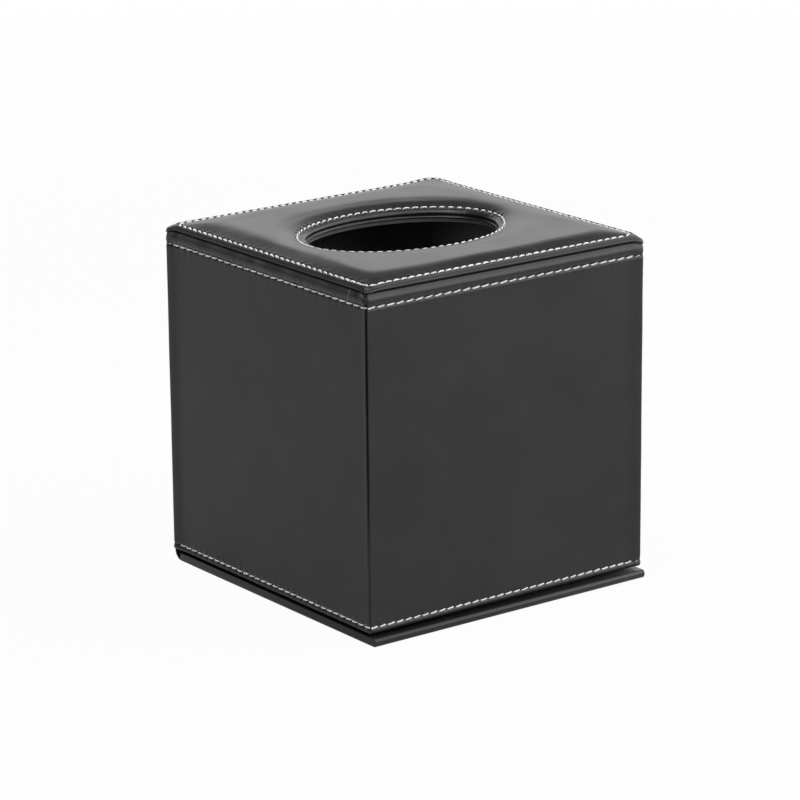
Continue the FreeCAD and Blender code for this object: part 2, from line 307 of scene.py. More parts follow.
def waves(seed, points, shortest, longest, count=20):
    # Unevenness of about -1 to 1, made of waves that run every way
    rng = np.random.default_rng(seed)
    ways = rng.normal(size=(count, points.shape[-1]))
    ways /= np.linalg.norm(ways, axis=1)[:, None]
    ways *= (2 * math.pi / rng.uniform(shortest, longest, count))[:, None]
    return np.sin(points @ ways.T + rng.uniform(0, 2 * math.pi, count)).sum(-1) / math.sqrt(2 * count)


def soft(x, low, high):
    t = np.clip((x - low) / (high - low), 0, 1)
    return t * t * (3 - 2 * t)


def hump(x, middle, half):
    return np.exp(-(((x - middle) / half) ** 2))


def arc(centre, radius, start, end, steps):
    # Points of an arc in a profile, the angles in degrees
    angles = np.radians(np.linspace(start, end, steps))
    return [(centre[0] + radius * math.cos(a), centre[1] + radius * math.sin(a)) for a in angles]


def spread(*stretches):
    # Places from (from, to, steps) stretches, joined end to end
    places = [np.linspace(low, high, steps, endpoint=False) for low, high, steps in stretches]
    return np.concatenate(places + [[stretches[-1][1]]])


sewing = {
    "groove": 0.26,  # the leather sinks along a seam
    "grooveHalf": 0.75,
    "hole": 0.22,  # and more at each needle hole
    "holeSize": 0.42,
    "tug": (0.55, 1.45),  # share of that, from the loosest to the tightest stitch
    "swell": 0.08,  # the leather swells beside the middle of each stitch
    "swellOff": 1.15,
    "swellHalf": 0.75,
    "fold": 0.10,  # short folds run from the holes
    "foldLength": 1.9,
    "foldHalf": 0.24,
    "foldLean": 0.35,  # radians, away from the seam's square
    "foldStray": 0.9,
    "holes": 400,  # before a seam repeats itself
}


def sewnRelief(along, across, pitch, seed):
    # How far the leather stands out beside a seam, in mm. along starts at a needle hole.
    c = sewing
    rng = np.random.default_rng(seed)
    phase = along / pitch
    hole = np.rint(phase).astype(int)
    offset = (phase - hole) * pitch
    tug = rng.uniform(*c["tug"], c["holes"])[hole % c["holes"]]
    lean = rng.uniform(-c["foldStray"], c["foldStray"], c["holes"])[hole % c["holes"]]
    lean = lean + np.where(across > 0, c["foldLean"], -c["foldLean"])
    relief = -c["groove"] * hump(across, 0, c["grooveHalf"])
    relief -= c["hole"] * tug * np.exp(-(offset**2 + across**2) / c["holeSize"] ** 2)
    between = 0.5 - 0.5 * np.cos(2 * math.pi * phase)
    relief += c["swell"] * tug * between * hump(np.abs(across), c["swellOff"], c["swellHalf"])
    side = offset * np.cos(lean) - across * np.sin(lean)
    fade = np.exp(-np.abs(across) / c["foldLength"]) * soft(np.abs(across), 0.2, 0.7)
    relief -= c["fold"] * tug * hump(side, 0, c["foldHalf"]) * fade
    return relief


def newObject(name, data):
    thing = bpy.data.objects.new(name, data)
    bpy.context.scene.collection.objects.link(thing)
    return thing


def plainMesh(piece):
    # What the piece's modifiers make becomes its mesh
    bpy.context.view_layer.update()
    depsgraph = bpy.context.evaluated_depsgraph_get()
    mesh = bpy.data.meshes.new_from_object(piece.evaluated_get(depsgraph))
    piece.modifiers.clear()
    piece.data = mesh
    mesh.name = piece.name
    return mesh


def leatherPiece(mesh, creaseAngle):
    mesh.shade_smooth()
    mesh.set_sharp_from_angle(angle=math.radians(creaseAngle))
    mesh.materials.clear()
    mesh.materials.append(finishes["leather"])
    piece = newObject(mesh.name, mesh)
    return piece


def shellOf(name, outer, inner, creaseAngle, ring=False):
    # A closed shell of leather between two grids of points; a ring has no ends
    rows, columns = outer.shape[:2]
    number = np.arange(2 * rows * columns).reshape(2, rows, columns)
    if ring:
        number = np.concatenate([number, number[:, :, :1]], axis=2)
    out, back = number

    def quads(a, b, c, d):
        return np.stack([a, b, c, d], -1).reshape(-1, 4)

    faces = [
        quads(out[:-1, :-1], out[:-1, 1:], out[1:, 1:], out[1:, :-1]),
        quads(back[:-1, :-1], back[1:, :-1], back[1:, 1:], back[:-1, 1:]),
        quads(out[0, 1:], out[0, :-1], back[0, :-1], back[0, 1:]),
        quads(out[-1, :-1], out[-1, 1:], back[-1, 1:], back[-1, :-1]),
    ]
    if not ring:
        faces.append(quads(out[:-1, 0], out[1:, 0], back[1:, 0], back[:-1, 0]))
        faces.append(quads(out[1:, -1], out[:-1, -1], back[:-1, -1], back[1:, -1]))
    faces = np.concatenate(faces)
    points = np.concatenate([outer.reshape(-1, 3), inner.reshape(-1, 3)])
    a, b, c, d = (points[faces[:, k]] for k in range(4))
    volume = np.einsum("ij,ij->i", a, np.cross(b, c)).sum() + np.einsum("ij,ij->i", a, np.cross(c, d)).sum()
    if volume <= 0:
        faces = faces[:, ::-1]
    mesh = bpy.data.meshes.new(name)
    mesh.from_pydata((points * mm).tolist(), [], faces.tolist())
    return leatherPiece(mesh, creaseAngle)


def placedGrid(profile, columns):
    # Depth (or y) and height of a profile's points, repeated over the columns
    return (np.repeat(profile[:, k : k + 1], columns, 1) for k in range(2))


def turned(points, quarter):
    # The front wall's points, turned to another wall
    c, s = [(1, 0), (0, 1), (-1, 0), (0, -1)][quarter]
    return points @ np.array([[c, s, 0], [-s, c, 0], [0, 0, 1]])


# Wall covers

wallLow, wallHigh = (np.array(corner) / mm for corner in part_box("front_leather"))
half = float(wallHigh[0])
foot, head = float(wallLow[2]), float(wallHigh[2])

wallCover = {
    "leather": 0.8,
    "board": 3,
    "turnIn": 10,
    "lay": 3,  # beyond that far from the wall's edges the turned-in leather has no bend
    "topRoll": 2.4,
    "bandRoll": (2.3, 4.2),  # the rolled band as it is stuffed: its depth and height
    "hemRoll": 1,
    "topSeam": 5.6,  # below the rolled top
    "footSeam": 2.6,  # above the hem
    "topStitches": 30,
    "footStitches": 33,
    "bandEdge": (0.2, 2.9),  # above the top seam, where the band begins to stand proud
    "bandSwell": 0.75,
    "bandRipple": 0.13,
    "footSwell": 0.12,
    "panelWaver": 0.05,
    "pucker": 0.05,
    "lap": 0.2,  # the left cover's ends lap in the band
    "lapEdge": (10.6, 10.2),  # from the front corner
    "lapFade": (7.5, 5),
    "foldOver": 2.7,  # at the front left corner the front cover laps the left one at the top
    "foldStep": 0.42,
    "cornerRoll": 1.3,
    "cornerSwell": 0.6,  # turned-in edges make the corners thick
    "cornerThick": (1, 4),  # that lies so far from the corner, and reaches so far
    "creaseRoll": 0.7,  # of the front left corner, which is pulled tight
    "creaseOpen": (8, 85),  # its crease opens between these heights
    "creaseShut": 0.12,  # and is that shallow below them
    "creaseLip": 0.12,
    "lipPlace": (1.7, 0.5),
    "cornerGroove": 0.7,  # where two covers meet
    "grooveHalf": 0.32,
    "strip": 20.8,  # height of the hinge strip on the back wall
    "stripSeat": 0.4,
    "clearOfMitre": 0.01,  # two covers don't touch where they meet
    "dressedTo": (1.2, 2.4),  # depth behind the face at which the relief fades out
}
wallNames = ("front", "right", "back", "left")
topSeam, footSeam = head - wallCover["topSeam"], foot + wallCover["footSeam"]


def wallProfile():
    # Depth behind the wall's face and height, along the cover's outer and inner side
    c = wallCover
    thick = c["leather"]
    lay, board = c["lay"], c["board"]
    inside, outside = thick + board, 2 * thick + board
    low, high = foot + thick, head - thick
    deep, tall = c["bandRoll"]
    # Inner places that go with the arc round the hem
    hem = [(2.4, low)] * 3 + [(1.4, low)] * 2 + [(thick, low)] * 2
    face = spread(
        (foot + c["hemRoll"], footSeam + 5, 22),
        (footSeam + 5, topSeam - 5, 44),
        (topSeam - 5, head - tall, 26),
    )
    outer = [(outside, low + c["turnIn"]), (outside, foot + lay), (outside, foot), (board, foot)]
    inner = [(inside, low + c["turnIn"]), (inside, foot + lay), (inside, low), (board, low)]
    outer += arc((c["hemRoll"], foot + c["hemRoll"]), c["hemRoll"], 270, 180, len(hem))
    inner += hem
    outer += [(0, z) for z in face[1:]]
    core = c["topRoll"] - thick
    inner += [(thick, min(max(z, low), high - core)) for z in face[1:]]
    bend = [(1 + x, z) for x, z in arc((0, 0), 1, 180, 90, 14)[1:]]
    outer += [(x * deep, head - tall + z * tall) for x, z in bend]
    inner += [(thick + x * core, high - core + z * core) for x, z in bend]
    outer += [(board, head), (outside, head), (outside, head - lay), (outside, high - c["turnIn"])]
    inner += [(board, high), (inside, high), (inside, head - lay), (inside, high - c["turnIn"])]
    return np.array(outer), np.array(inner)


def faceRelief(u, z, quarter):
    # How far the face stands out of its plane, and how far the stuffed band does
    c = wallCover
    seed = 10 * quarter
    span = 2 * half
    relief = sewnRelief(u + half, z - topSeam, span / c["topStitches"], seed + 1)
    if wallNames[quarter] != "back":
        relief = relief + sewnRelief(u + half, z - footSeam, span / c["footStitches"], seed + 2)
    where = np.stack([u, z], -1)
    bandLow, bandHigh = c["bandEdge"]
    band = soft(z, topSeam + bandLow, topSeam + bandHigh)
    relief += band * c["bandRipple"] * waves(seed + 3, where * [1, 0.3], 9, 26)
    relief += c["footSwell"] * hump(z, footSeam - 1.3, 0.9)
    relief += c["panelWaver"] * waves(seed + 4, where, 14, 60)
    besideSeams = np.exp(-np.abs(z - topSeam) / 3.0) + np.exp(-np.abs(z - footSeam) / 2.2)
    relief += c["pucker"] * besideSeams * waves(seed + 5, where * [1.0, 0.55], 2.2, 5.5, 30)
    if wallNames[quarter] == "left":
        lapped, faded = (soft(u, *(half - np.array(c[key]))) for key in ("lapEdge", "lapFade"))
        relief += c["lap"] * band * lapped * (1 - faded)
        reach = c["foldOver"] * np.clip((z - topSeam - 0.4) / (head - topSeam - 1), 0, 1.15) ** 1.4
        fold = u - half + reach + 0.7
        relief += band * c["foldStep"] * (hump(fold, -0.25, 0.45) - 1.6 * hump(fold, 0.5, 0.35))
    return relief, c["bandSwell"] * band


def dressWall(u, depth, z, quarter):
    # Only the face and the two rolls are dressed, not what is turned in
    c = wallCover
    name = wallNames[quarter]
    relief, swell = faceRelief(u, z, quarter)
    gap = half - np.abs(u)
    tight = u < 0 if name == "front" else (u > 0) & (name == "left")
    loose = ~tight
    inBand = soft(z, topSeam + 0.5, topSeam + 2)
    creased = c["creaseRoll"] + (c["cornerRoll"] - c["creaseRoll"]) * inBand
    roll = np.where(tight, creased, c["cornerRoll"])
    sunk = roll - np.sqrt(np.maximum(roll**2 - np.maximum(roll - gap, 0) ** 2, 0))
    # The crease at the front left lies just on the left wall, and closes up lower down
    opened = c["creaseShut"] + (1 - c["creaseShut"]) * soft(z, *c["creaseOpen"])
    crease = (u > 0) * (1 - inBand) * opened
    groove = c["cornerGroove"] * np.where(tight, crease, 1)
    relief = relief + c["creaseLip"] * crease * tight * hump(gap, *c["lipPlace"])
    thickened = c["cornerSwell"] * loose * hump(gap, *c["cornerThick"])
    swell = swell * np.where(tight, 1, soft(gap, 0.3, 6)) + thickened
    sunk = np.minimum(sunk, roll * 0.45) + groove * hump(gap, 0.5 * tight, c["grooveHalf"])
    rise = (relief * soft(gap, 0.1, 1.2) + swell - sunk) * (1 - soft(depth, *c["dressedTo"]))
    return u + np.sign(u) * rise * (1 - soft(gap, 0, 2.5)), depth - rise


def makeWallCover(quarter):
    c = wallCover
    ends = spread((0, 0.8, 12), (0.8, 4, 14))
    middle = np.linspace(4, 2 * half - 4, 236)[1:-1]
    columns = np.concatenate([ends, middle, 2 * half - ends[::-1]]) / half - 1

    def placed(profile, dressed):
        depth, z = placedGrid(profile, len(columns))
        u = columns * (half - depth)
        if dressed:
            u, depth = dressWall(u, depth, z, quarter)
        if wallNames[quarter] == "back":
            # Skived where the hinge strip is laid on
            seat = (z < foot + c["strip"]) & (depth < c["stripSeat"])
            depth = np.where(seat, c["stripSeat"], depth)
        limit = half - depth - c["clearOfMitre"]
        u = np.clip(u, -limit, limit)
        return turned(np.stack([u, depth - half, z], -1), quarter)

    outer, inner = wallProfile()
    name = wallNames[quarter]
    piece = shellOf(f"{name}WallCover", placed(outer, True), placed(inner, False), 60)
    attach(piece, "box")
    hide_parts(f"{name}_leather")


for quarter in range(4):
    makeWallCover(quarter)
print("wall covers: 4")


# Lid cover

lidCover = {
    "leather": 0.8,
    "lip": 1.1,  # the top board's edge over the walls, and its plug between them
    "plug": 1.4,
    "seamInset": 2.8,
    "seamCorner": 3.4,
    "borderStitches": 36,  # on each side
    "padRise": 2.0,
    "padRun": 8.8,  # from the border seam to where the padding is full
    "frontRun": 5.2,  # the same at the front
    "frontPlace": ((25, 60), (20, 45)),  # where that begins, from the diagonals and the middle
    "crest": 12,  # higher is sharper
    "crestRidge": 0.06,
    "hip": 1.5,  # lower is rounder, where the padding turns a corner
    "startRise": 0.95,  # share of the rise before the padding swells
    "quickSwell": 0.08,
    "mostSwell": 0.22,  # mm
    "padWaver": 0.10,
    "pucker": 0.06,
    "mouthLength": 82.5,
    "mouthWidth": 58,
    "mouthSeam": 2.75,
    "mouthPitch": 3.5,
    "mouthRun": 5.0,
    "mouthCrest": 5,
    "mouthTurnIn": 6,
    "mouthLeft": 1.4,  # the turned edge is wider at the mouth's left end
    "leftEnd": (26, 42),  # which is that far from the middle
    "mouthStray": ((40, -14), (-0.9, 0.35)),  # where the mouth is sewn out of true, and how far
    "strayReach": 12,
    "collarWaver": 0.12,
    "cornerRoll": 3,  # plan rounding of the outer edge
    "noseCorner": 1.9,  # the same at the nose's widest
    "leastRoll": 0.9,
    "cornerDroop": 0.8,
    "droopReach": 2.3,
    "droopHeight": (0.5, 1.5),
    "cornerTuck": 1.8,  # the nose is drawn down over the walls' corners
    "tuckReach": 3.3,
    "tuckOut": 1.25,
    "tuckHeight": (0.1, 1.2),  # above the walls, where that fades out
    "frontTuck": 0.3,  # share of that at the front left corner
    "cornerBulge": 0.75,
    "bulgeHeight": (1.15, 0.55),  # above the walls, and half its own height
    "pinch": 0.42,  # at the front left corner
    "pinchSize": (0.9, 4),  # half its width, and its reach from the corner
    "ridge": 0.3,  # the leather swells between the border seam and the edge
    "ridgeSides": ((0.35, 0.9), (1.5, 2.2)),  # from the seam
    "leftSettle": 0.36,  # the left and back borders lie lower
    "leftEdge": (54, 61),  # from that far from the middle
    "backSettle": 0.4,
    "backEdge": (48, 61),
    "cornerLift": 0.6,  # but not the back right corner
    "liftEdge": (46, 60),
    "columns": 440,
    "padRows": 26,
}
seamLevel = head + lidCover["lip"] + lidCover["leather"]
tiny = 1e-9  # keeps a length off zero


def ovalLine(grow, end, steps):
    # Half axes of the mouth's oval, angles round it and the length up to each
    a, b = lidCover["mouthLength"] / 2 + grow, lidCover["mouthWidth"] / 2 + grow
    angles = np.linspace(0, end, steps)
    pieces = np.hypot(np.diff(a * np.cos(angles)), np.diff(b * np.sin(angles)))
    return a, b, angles, np.concatenate([[0], np.cumsum(pieces)])


def ovalPoints(grow, quarterShares):
    # Points of the mouth's oval, at shares of each quarter's length, starting on +X
    a, b, angles, length = ovalLine(grow, math.pi / 2, 4001)
    angle = np.interp((quarterShares % 1) * length[-1], length, angles)
    quadrant = np.floor(quarterShares).astype(int) % 4
    x, y = a * np.cos(angle), b * np.sin(angle)
    # Every second quarter runs the other way along the ellipse
    back = np.interp((1 - quarterShares % 1) * length[-1], length, angles)
    xBack, yBack = a * np.cos(back), b * np.sin(back)
    px = np.choose(quadrant, [x, -xBack, -x, xBack])
    py = np.choose(quadrant, [y, yBack, -y, -yBack])
    return np.stack([px, py], -1), 4 * length[-1]


def ovalShare(x, y):
    # Share of the way round the seam's oval, by its length, and that length
    a, b, angles, length = ovalLine(lidCover["mouthSeam"], 2 * math.pi, 8001)
    angle = np.arctan2(y / b, x / a) % (2 * math.pi)
    return np.interp(angle, angles, length) / length[-1], float(length[-1])


def ovalDistance(x, y):
    # About how far a point lies outside the mouth's edge
    a, b = lidCover["mouthLength"] / 2, lidCover["mouthWidth"] / 2
    k = np.hypot(x / a, y / b)
    slope = np.hypot(x / a**2, y / b**2) / np.maximum(k, tiny)
    return (k - 1) / np.maximum(slope, tiny)


def squarePoints(inset, shares, corner):
    # Points of the rounded border at that inset, in step with the oval's quarters
    side = half - inset
    t = (shares + 0.5) % 4
    face, along = np.floor(t).astype(int), 2 * (t % 1) - 1
    reach = np.full_like(along, side)
    x = np.choose(face, [reach, -along * side, -reach, along * side])
    y = np.choose(face, [along * side, reach, -along * side, -reach])
    radius = max(corner - inset, lidCover["leastRoll"])
    core = side - radius
    cx, cy = np.clip(x, -core, core), np.clip(y, -core, core)
    dx, dy = x - cx, y - cy
    long = np.maximum(np.hypot(dx, dy), tiny)
    return np.stack([cx + dx / long * radius, cy + dy / long * radius], -1)


def borderSide():
    # Half the straight part of the border seam on one side, and half the side's whole length
    core = half - lidCover["seamInset"] - lidCover["seamCorner"]
    return core, core + lidCover["seamCorner"] * math.pi / 4


def borderPlace(x, y):
    # Along the border seam, from the middle of the corner before; across it; and its side
    core, halfSide = borderSide()
    radius = lidCover["seamCorner"]
    onX = np.abs(x) > np.abs(y)
    t = np.where(onX, y * np.sign(x), -x * np.sign(y))
    out = np.where(onX, np.abs(x), np.abs(y)) - core
    past = np.abs(t) - core
    turning = (past > 0) & (out > 0)
    across = np.where(turning, np.hypot(past, out), out) - radius
    bend = core + radius * np.arctan2(np.maximum(past, 0), np.maximum(out, tiny))
    along = np.sign(t) * np.where(turning, bend, np.abs(t)) + halfSide
    side = np.where(onX, np.where(x > 0, 0, 2), np.where(y > 0, 1, 3))
    return along, across, side


def padHeight(x, y):
    # The padding's rise, from 0 at both seams to 1 where it is flat
    c = lidCover
    border = half - c["seamInset"]
    dx, dy = np.maximum(border - np.abs(x), 1e-6), np.maximum(border - np.abs(y), 1e-6)
    near = (dx ** -c["hip"] + dy ** -c["hip"]) ** (-1 / c["hip"])
    near = np.minimum(near, -borderPlace(x, y)[1])
    ring = ovalDistance(x, y) - c["mouthSeam"]

    def crest(t, sharpness):
        t = np.maximum(t, 0)
        return t / (1 + t**sharpness) ** (1 / sharpness)

    fromDiagonal, fromMiddle = c["frontPlace"]
    atFront = soft(np.abs(x) - y, *fromDiagonal) * soft(-y, *fromMiddle)
    share = near / (c["padRun"] + (c["frontRun"] - c["padRun"]) * atFront)
    first, second = crest(share, c["crest"]), crest(ring / c["mouthRun"], c["mouthCrest"])
    low, high = np.minimum(first, second), np.maximum(first, second)
    return low * (0.3 + 0.7 * high) + c["crestRidge"] * second * hump(share, 1.04, 0.25)


def noseRows():
    # (inset from the border, height, inner inset, inner height) of the rows round the lid's edge
    sides = [
        (0.80, 0, 0.80, 0.02),
        (0.45, 0.01, 0.80, 0.04),
        (0.16, 0.16, 0.80, 0.10),
        (0.02, 0.40, 0.80, 0.16),
        (0.00, 0.62, 0.80, 0.20),
        (0.10, 0.86, 0.94, 0.36),
        (0.34, 1.02, 1.12, 0.52),
        (0.66, 1.09, 1.32, 0.66),
        (0.86, 1.20, 1.46, 0.76),
        (0.82, 1.34, 1.54, 0.86),
        (0.80, 1.52, 1.62, 0.94),
        (0.90, 1.70, 1.70, 1.00),
        (1.12, 1.83, 1.76, 1.06),
    ]
    rows = [(inset, head + rise, inner, head + innerRise) for inset, rise, inner, innerRise in sides]
    onTop = ((1.45, 1.85), (1.85, 2.0), (2.25, 2.25), (2.55, 2.55), (2.80, 2.80))
    return rows + [(inset, seamLevel, inner, head + lidCover["lip"]) for inset, inner in onTop]


def mouthRows():
    # The same down into the mouth, with distances out from its edge
    c = lidCover
    thick, top = c["leather"], seamLevel
    lip = top - thick
    under = head - c["plug"] - thick
    rows = [
        (2.75, top, 2.75, lip),
        (2.40, top - 0.07, 2.40, lip),
        (2.00, top - 0.20, 2.00, lip),
        (1.50, top - 0.40, 1.55, lip),
        (1.02, top - 0.61, 1.20, lip - 0.05),
        (0.62, top - 0.86, 1.00, lip - 0.15),
        (0.30, top - 1.12, 0.90, lip - 0.3),
    ]
    # Two soft creases run round in the turned edge
    creased = [(0.08, 1.42), (-0.03, 1.74), (0.05, 2.02), (0.30, 2.32), (0.42, 2.68)]
    creased += [(0.36, 2.96), (0.12, 3.16), (-0.08, 3.34), (-0.08, 3.54), (0.12, 3.74)]
    rows += [(place, top - below, 0.9, top - below) for place, below in creased]
    rows += [
        (0.45, under + 0.25, 1.0, under + thick + 0.02),
        (0.60, under + 0.06, 1.1, under + thick),
        (0.80, under, 1.2, under + thick),
        (3.0, under, 3.0, under + thick),
        (c["mouthTurnIn"], under, c["mouthTurnIn"], under + thick),
    ]
    return rows


def handSewn(points):
    # The mouth is a little out of true, and the border isn't level
    c = lidCover
    (x, y), move = c["mouthStray"]
    points = points.copy()
    near = np.exp(-((np.hypot(points[:, 0] - x, points[:, 1] - y) / c["strayReach"]) ** 1.5))
    points[:, :2] += near[:, None] * np.array(move)
    rim = soft(points[:, 2], head + 0.8, seamLevel - 0.1)
    left = c["leftSettle"] * soft(-points[:, 0], *c["leftEdge"])
    back = c["backSettle"] - c["cornerLift"] * soft(points[:, 0], *c["liftEdge"])
    back = back * soft(points[:, 1], *c["backEdge"])
    points[:, 2] -= np.where(left > 0, np.maximum(left, back), back) * rim
    return points


def makeLidGrid():
    c = lidCover
    # Columns stand closer together at the border's corners
    shares = np.arange(c["columns"]) / (c["columns"] / 4)
    outer, inner = [], []

    def addRow(rows, xy, level):
        rows.append(np.column_stack([xy, np.zeros(len(xy)) + level]))

    for place, z, innerPlace, innerZ in noseRows():
        drawn = c["noseCorner"] + (c["cornerRoll"] - c["noseCorner"]) * soft(z, head + 0.6, head + 1.7)
        addRow(outer, squarePoints(place, shares, drawn), z)
        addRow(inner, squarePoints(innerPlace, shares, c["cornerRoll"]), innerZ)
    border, oval = outer[-1][:, :2], ovalPoints(c["mouthSeam"], shares)[0]
    steps = np.linspace(0, 1, c["padRows"] + 2)[1:-1]
    steps = 0.5 - 0.5 * np.cos(math.pi * (0.9 * steps + 0.05))
    steps = (steps - steps[0]) / (steps[-1] - steps[0]) * 0.94 + 0.03
    for step in steps:
        xy = border + (oval - border) * step
        rise = padHeight(*xy.T)
        addRow(outer, xy, seamLevel + c["startRise"] * c["padRise"] * rise)
        addRow(inner, xy, seamLevel - c["leather"] + 0.9 * c["startRise"] * c["padRise"] * rise)
    for place, z, innerPlace, innerZ in mouthRows():
        addRow(outer, ovalPoints(place, shares)[0], z)
        addRow(inner, ovalPoints(innerPlace, shares)[0], innerZ)
    return np.array(outer), np.array(inner)


padCloth = {
    "scale": 10,  # it is simulated larger than it is
    "quality": 5,
    "mass": 0.3,
    "stretch": 15,
    "shear": 5,
    "bend": 0.5,
    "pressure": 5,
    "frames": 20,
}


def swellPad(rows, most):
    # The padding pushes the sewn-down leather up: a cloth whose two seams are held
    c = padCloth
    count, columns = rows.shape[:2]
    number = np.arange(count * columns).reshape(count, columns)
    number = np.concatenate([number, number[:, :1]], axis=1)
    faces = np.stack([number[:-1, :-1], number[:-1, 1:], number[1:, 1:], number[1:, :-1]], -1).reshape(-1, 4)
    start = (rows * mm * c["scale"]).reshape(-1, 3)
    sides = start[faces[:, 1]] - start[faces[:, 0]], start[faces[:, 2]] - start[faces[:, 0]]
    if np.cross(*sides)[:, 2].mean() < 0:
        faces = faces[:, ::-1]
    mesh = bpy.data.meshes.new("padSwelling")
    mesh.from_pydata(start.tolist(), [], faces.tolist())
    sim = newObject("padSwelling", mesh)
    held = sim.vertex_groups.new(name="held")
    held.add([int(k) for k in (*number[0, :-1], *number[-1, :-1])], 1, "REPLACE")
    cloth = sim.modifiers.new("swelling", "CLOTH")
    settings = cloth.settings
    settings.quality = c["quality"]
    settings.mass = c["mass"]
    settings.tension_stiffness = settings.compression_stiffness = c["stretch"]
    settings.shear_stiffness = c["shear"]
    settings.bending_stiffness = c["bend"]
    settings.use_pressure = True
    settings.uniform_pressure_force = c["pressure"]
    settings.vertex_group_mass = "held"
    settings.effector_weights.gravity = 0
    cloth.point_cache.frame_start, cloth.point_cache.frame_end = 1, c["frames"]
    for step in range(1, c["frames"] + 1):
        bpy.context.scene.frame_set(step)
    depsgraph = bpy.context.evaluated_depsgraph_get()
    swollen = np.empty(start.size)
    sim.evaluated_get(depsgraph).data.vertices.foreach_get("co", swollen)
    bpy.context.scene.frame_set(1)
    moved = ((swollen.reshape(-1, 3) - start) / c["scale"] / mm).reshape(rows.shape)
    bpy.data.objects.remove(sim)
    length = np.linalg.norm(moved, axis=-1)
    print("  swelling, mm:", round(float(length.max()), 2), "at most, then held to", most)
    return moved * (most * np.tanh(length / most) / np.maximum(length, tiny))[..., None]


def lidRelief(points, ring):
    # Needle holes, puckers and soft unevenness of the cover's outer side
    c = lidCover
    x, y = points[:, 0], points[:, 1]
    along, across, side = borderPlace(x, y)
    near, far = c["ridgeSides"]
    relief = c["ridge"] * soft(across, *near) * (1 - soft(across, *far))
    for number in range(4):
        sewn = sewnRelief(along, across, 2 * borderSide()[1] / c["borderStitches"], 50 + number)
        relief += np.where(side == number, sewn, 0)
    share, total = ovalShare(x, y)
    stitches = round(total / c["mouthPitch"])
    relief += sewnRelief(share * total, ring, total / stitches, 60)
    where = points[:, :2]
    onPad = soft(-across, 0.5, 6) * soft(ring, 0.5, 6)
    relief += onPad * c["padWaver"] * waves(61, where, 12, 45)
    besideSeams = np.exp(-np.abs(across) / 3.0) + np.exp(-np.abs(ring) / 2.6)
    return relief + c["pucker"] * besideSeams * waves(62, where, 2.0, 5.0, 30)


def drawCorners(points, across):
    # The outer corners are drawn down, and lie on the walls' corners
    c = lidCover
    x, y, z = points.T
    fromCorner = np.hypot(half - np.abs(x), half - np.abs(y))
    gathered = hump(fromCorner, 0, c["tuckReach"])
    edge = (across > 1) * (z > head - 0.3)
    lower = (1 - soft(z - head, *c["tuckHeight"])) * edge
    shoulder = hump(z - head, *c["bulgeHeight"]) * edge
    notFront = soft(x + y, -110, -60)
    tucked = gathered * lower * (c["frontTuck"] + (1 - c["frontTuck"]) * notFront)
    outwards = c["tuckOut"] * tucked + c["cornerBulge"] * gathered * shoulder * notFront
    offMiddle = np.abs(x - y) / math.sqrt(2)
    wide, reach = c["pinchSize"]
    pinched = hump(offMiddle, 0, wide) * hump(fromCorner, 0, reach)
    pinched = pinched * (x + y < 0) * edge * (z < seamLevel - 0.1)
    moved = (outwards - c["pinch"] * pinched)[:, None] / math.sqrt(2)
    points[:, :2] += np.column_stack([np.sign(x), np.sign(y)]) * moved
    droop = c["cornerDroop"] * hump(fromCorner, 0, c["droopReach"]) * soft(z - head, *c["droopHeight"])
    points[:, 2] -= droop + c["cornerTuck"] * tucked


def dressLid(mesh):
    c = lidCover
    flat, outward = (np.empty(len(mesh.vertices) * 3) for _ in range(2))
    mesh.vertices.foreach_get("co", flat)
    mesh.vertices.foreach_get("normal", outward)
    points = flat.reshape(-1, 3) / mm
    x, y, z = points.T
    across, ring = borderPlace(x, y)[1], ovalDistance(x, y) - c["mouthSeam"]
    onTop = soft(outward.reshape(-1, 3)[:, 2], 0.1, 0.6) * (z > seamLevel - 0.95)
    relief = lidRelief(points, ring)
    collar = (ring < -1.7) * (z > head - 2) * (z < seamLevel - 0.9)
    inward = c["collarWaver"] * collar * waves(63, points * [1, 1, 3], 5, 22, 24)
    points[:, :2] -= inward[:, None] * points[:, :2] / np.hypot(x, y)[:, None]
    points[:, 0] += c["mouthLeft"] * soft(-x, *c["leftEnd"]) * (1 - soft(ring, -2.4, -0.2))
    points[:, 2] += relief * onTop
    points = handSewn(points)
    drawCorners(points, across)
    mesh.vertices.foreach_set("co", (points * mm).ravel())
    mesh.update()


def makeLidCover():
    c = lidCover
    outer, inner = makeLidGrid()
    first = len(noseRows())
    last = first + c["padRows"]
    pad = slice(first, last)
    moved = swellPad(outer[first - 1 : last + 1], c["mostSwell"])[1:-1]
    outer[pad] += moved
    inner[pad] += moved
    piece = shellOf("lidCover", outer, inner, 65, ring=True)
    finer = piece.modifiers.new("finer", "SUBSURF")
    finer.levels = finer.render_levels = 1
    dense = plainMesh(piece)
    dressLid(dense)
    dense.shade_smooth()
    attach(piece, "box")
    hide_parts("top_leather")


makeLidCover()
print("lid cover: padded")


# Hinge strip

stripHigh = np.array(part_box("hinge_leather")[1]) / mm

hingeStrip = {
    "leather": 0.8,
    "roll": 4,
    "tail": 8,
    "tailLoose": 0.05,  # what lies lower than this stays flat
    "bulge": 0.25,
    "waver": 0.1,
    "crease": 0.05,  # fine cross creases where it folds
    "edgeDrop": 0.3,
    "edgeWide": 0.8,
    "seam": 2.6,  # below the strip's upper edge
    "stitches": 31,
    "bendStart": 4.6,  # height at which the box's part ends
}


